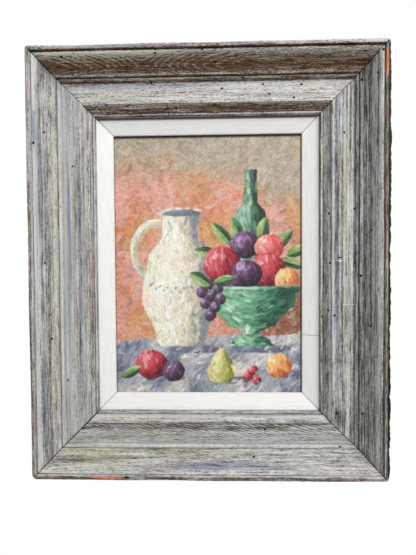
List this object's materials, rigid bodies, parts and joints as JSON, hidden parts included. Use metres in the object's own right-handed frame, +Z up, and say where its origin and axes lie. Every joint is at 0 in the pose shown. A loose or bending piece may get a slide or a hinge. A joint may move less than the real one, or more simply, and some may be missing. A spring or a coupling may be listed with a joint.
{
  "type": "framed oil painting",
  "caption": "Oil painting on stretched canvas, in a white liner and a deep, wide frame of limed, wormy wood with a coved outer moulding, for hanging on a wall.",
  "frame": {"origin": "on the flat back of the frame's top rail, midway along it and midway up the flat, where the picture meets the wall", "axes": "+Z up the picture, +Y into the wall, -Y towards the viewer, +X to the viewer's right"},
  "size_m": [0.5092, 0.078, 0.6172],
  "materials": {
    "limed_wood": "matt, weathered: white and blue-grey pigment rubbed into an open grain",
    "white_liner": "matt white paint on wood, the grain just showing through",
    "painted_canvas": "thick oil paint with brush ridges, satin; bare linen behind",
    "strainer_pine": "bare planed pine, aged",
    "brad_steel": "dull bright steel"
  },
  "bodies": {
    "root": {"frame_rail_top": "limed_wood", "frame_rail_right": "limed_wood", "frame_rail_bottom": "limed_wood", "frame_rail_left": "limed_wood", "liner_top": "white_liner", "liner_right": "white_liner", "liner_bottom": "white_liner", "liner_left": "white_liner", "canvas": "painted_canvas", "strainer_bar_top": "strainer_pine", "strainer_bar_right": "strainer_pine", "strainer_bar_bottom": "strainer_pine", "strainer_bar_left": "strainer_pine", "liner_brad_top_a": "brad_steel", "liner_brad_top_b": "brad_steel", "liner_brad_right_a": "brad_steel", "liner_brad_right_b": "brad_steel", "liner_brad_bottom_a": "brad_steel", "liner_brad_bottom_b": "brad_steel", "liner_brad_left_a": "brad_steel", "liner_brad_left_b": "brad_steel", "canvas_brad_top_a": "brad_steel", "canvas_brad_top_b": "brad_steel", "canvas_brad_right_a": "brad_steel", "canvas_brad_right_b": "brad_steel", "canvas_brad_bottom_a": "brad_steel", "canvas_brad_bottom_b": "brad_steel", "canvas_brad_left_a": "brad_steel", "canvas_brad_left_b": "brad_steel"}
  },
  "joints": []
}
